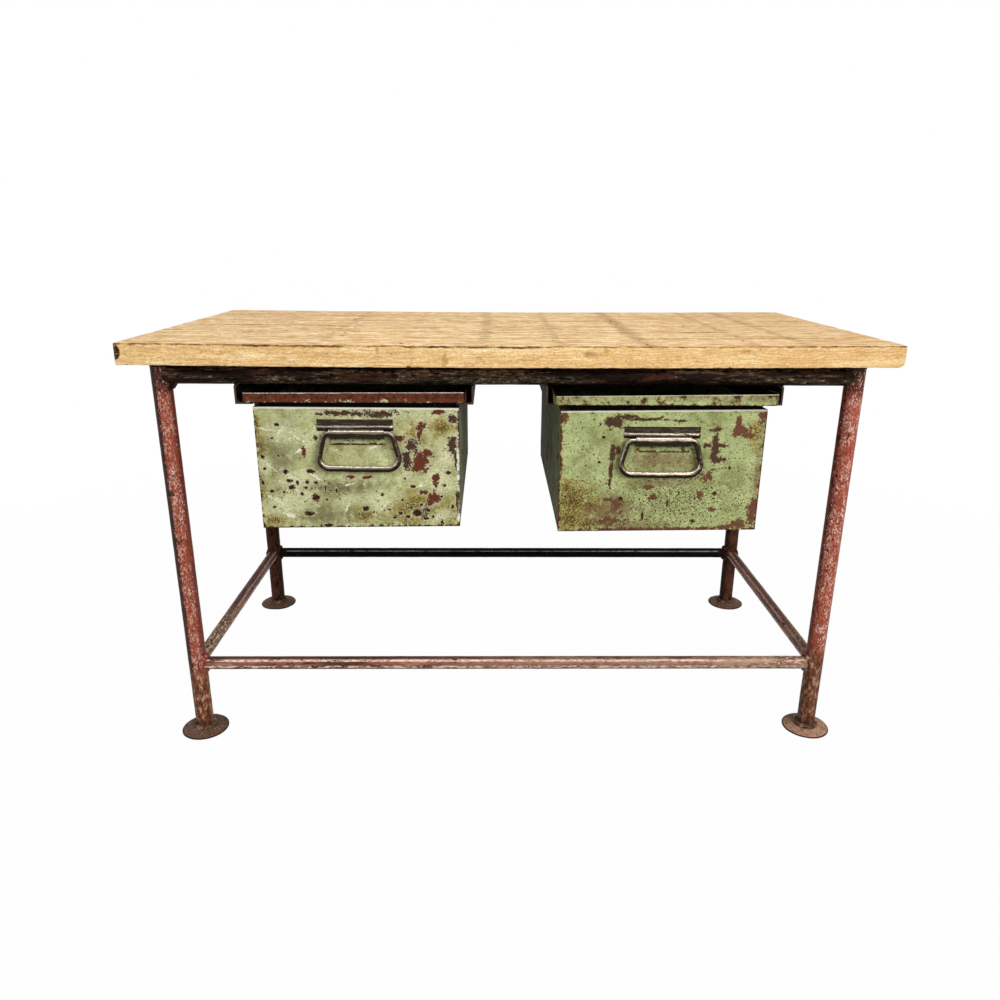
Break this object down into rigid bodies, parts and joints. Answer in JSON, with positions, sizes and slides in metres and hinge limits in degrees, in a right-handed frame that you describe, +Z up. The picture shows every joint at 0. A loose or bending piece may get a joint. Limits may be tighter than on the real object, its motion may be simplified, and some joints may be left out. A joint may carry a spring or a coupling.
{
  "type": "jewelers bench",
  "caption": "Free-standing workshop bench: timber plank top on a welded tube frame, with sheet-steel drawers that slide on angle runners and swinging bail handles.",
  "frame": {"origin": "on the floor under the middle of the top", "axes": "+X to the right along the bench's length, +Y to the back, +Z up; the drawers open towards -Y"},
  "size_m": [1.5, 0.748, 0.864],
  "materials": {
    "oiled_timber": "worn oiled softwood planks",
    "cleat_timber": "rough sawn batten",
    "screw_steel": "dull zinc",
    "red_oxide_tube": "worn red oxide paint with chips",
    "rusty_steel": "rubbed rusty plate",
    "black_tube": "worn gloss black paint",
    "brown_tube": "worn red oxide paint rubbed to steel",
    "dark_tube": "dark worn paint",
    "dark_angle": "dark painted angle iron",
    "handle_steel": "aged bare steel",
    "pale_green_sheet": "chipped pale green enamel",
    "green_sheet": "speckled green enamel"
  },
  "bodies": {
    "frame": {"back_rail": "dark_tube", "back_stretcher": "black_tube", "cleat_screws": "screw_steel", "fixing_bar_left": "dark_angle", "fixing_bar_right": "dark_angle", "foot_back_left": "rusty_steel", "foot_back_right": "rusty_steel", "foot_front_left": "rusty_steel", "foot_front_right": "rusty_steel", "front_rail": "dark_tube", "front_stretcher": "brown_tube", "left_drawer_stops": "dark_angle", "left_rail": "dark_tube", "left_runner_inner": "dark_angle", "left_runner_outer": "dark_angle", "left_stretcher": "brown_tube", "leg_back_left": "red_oxide_tube", "leg_back_right": "red_oxide_tube", "leg_front_left": "red_oxide_tube", "leg_front_right": "red_oxide_tube", "plank_1": "oiled_timber", "plank_2": "oiled_timber", "plank_3": "oiled_timber", "plank_4": "oiled_timber", "plank_5": "oiled_timber", "plank_6": "oiled_timber", "right_drawer_stops": "dark_angle", "right_rail": "dark_tube", "right_runner_inner": "dark_angle", "right_runner_outer": "dark_angle", "right_stretcher": "brown_tube", "top_cleat_left": "cleat_timber", "top_cleat_right": "cleat_timber", "top_screws": "screw_steel"},
    "left_drawer": {"left_drawer_back": "pale_green_sheet", "left_drawer_front": "pale_green_sheet", "left_drawer_handle_bracket": "handle_steel", "left_drawer_rim": "pale_green_sheet", "left_drawer_shell": "pale_green_sheet"},
    "right_drawer": {"right_drawer_back": "green_sheet", "right_drawer_front": "green_sheet", "right_drawer_handle_bracket": "handle_steel", "right_drawer_rim": "green_sheet", "right_drawer_shell": "green_sheet"},
    "left_bail": {"left_drawer_bail": "handle_steel"},
    "right_bail": {"right_drawer_bail": "handle_steel"}
  },
  "joints": [
    {"name": "left_drawer_slide", "type": "slide", "parent": "frame", "child": "left_drawer", "axis": [0, -1, 0], "range_m": [0, 0.42]},
    {"name": "right_drawer_slide", "type": "slide", "parent": "frame", "child": "right_drawer", "axis": [0, -1, 0], "range_m": [-0.019, 0.4]},
    {"name": "left_bail_swing", "type": "hinge", "parent": "left_drawer", "child": "left_bail", "pos_m": [-0.3035, -0.339, 0.6845], "axis": [-1, 0, 0], "range_deg": [0, 100]},
    {"name": "right_bail_swing", "type": "hinge", "parent": "right_drawer", "child": "right_bail", "pos_m": [0.3035, -0.358, 0.6755], "axis": [-1, 0, 0], "range_deg": [0, 100]}
  ]
}
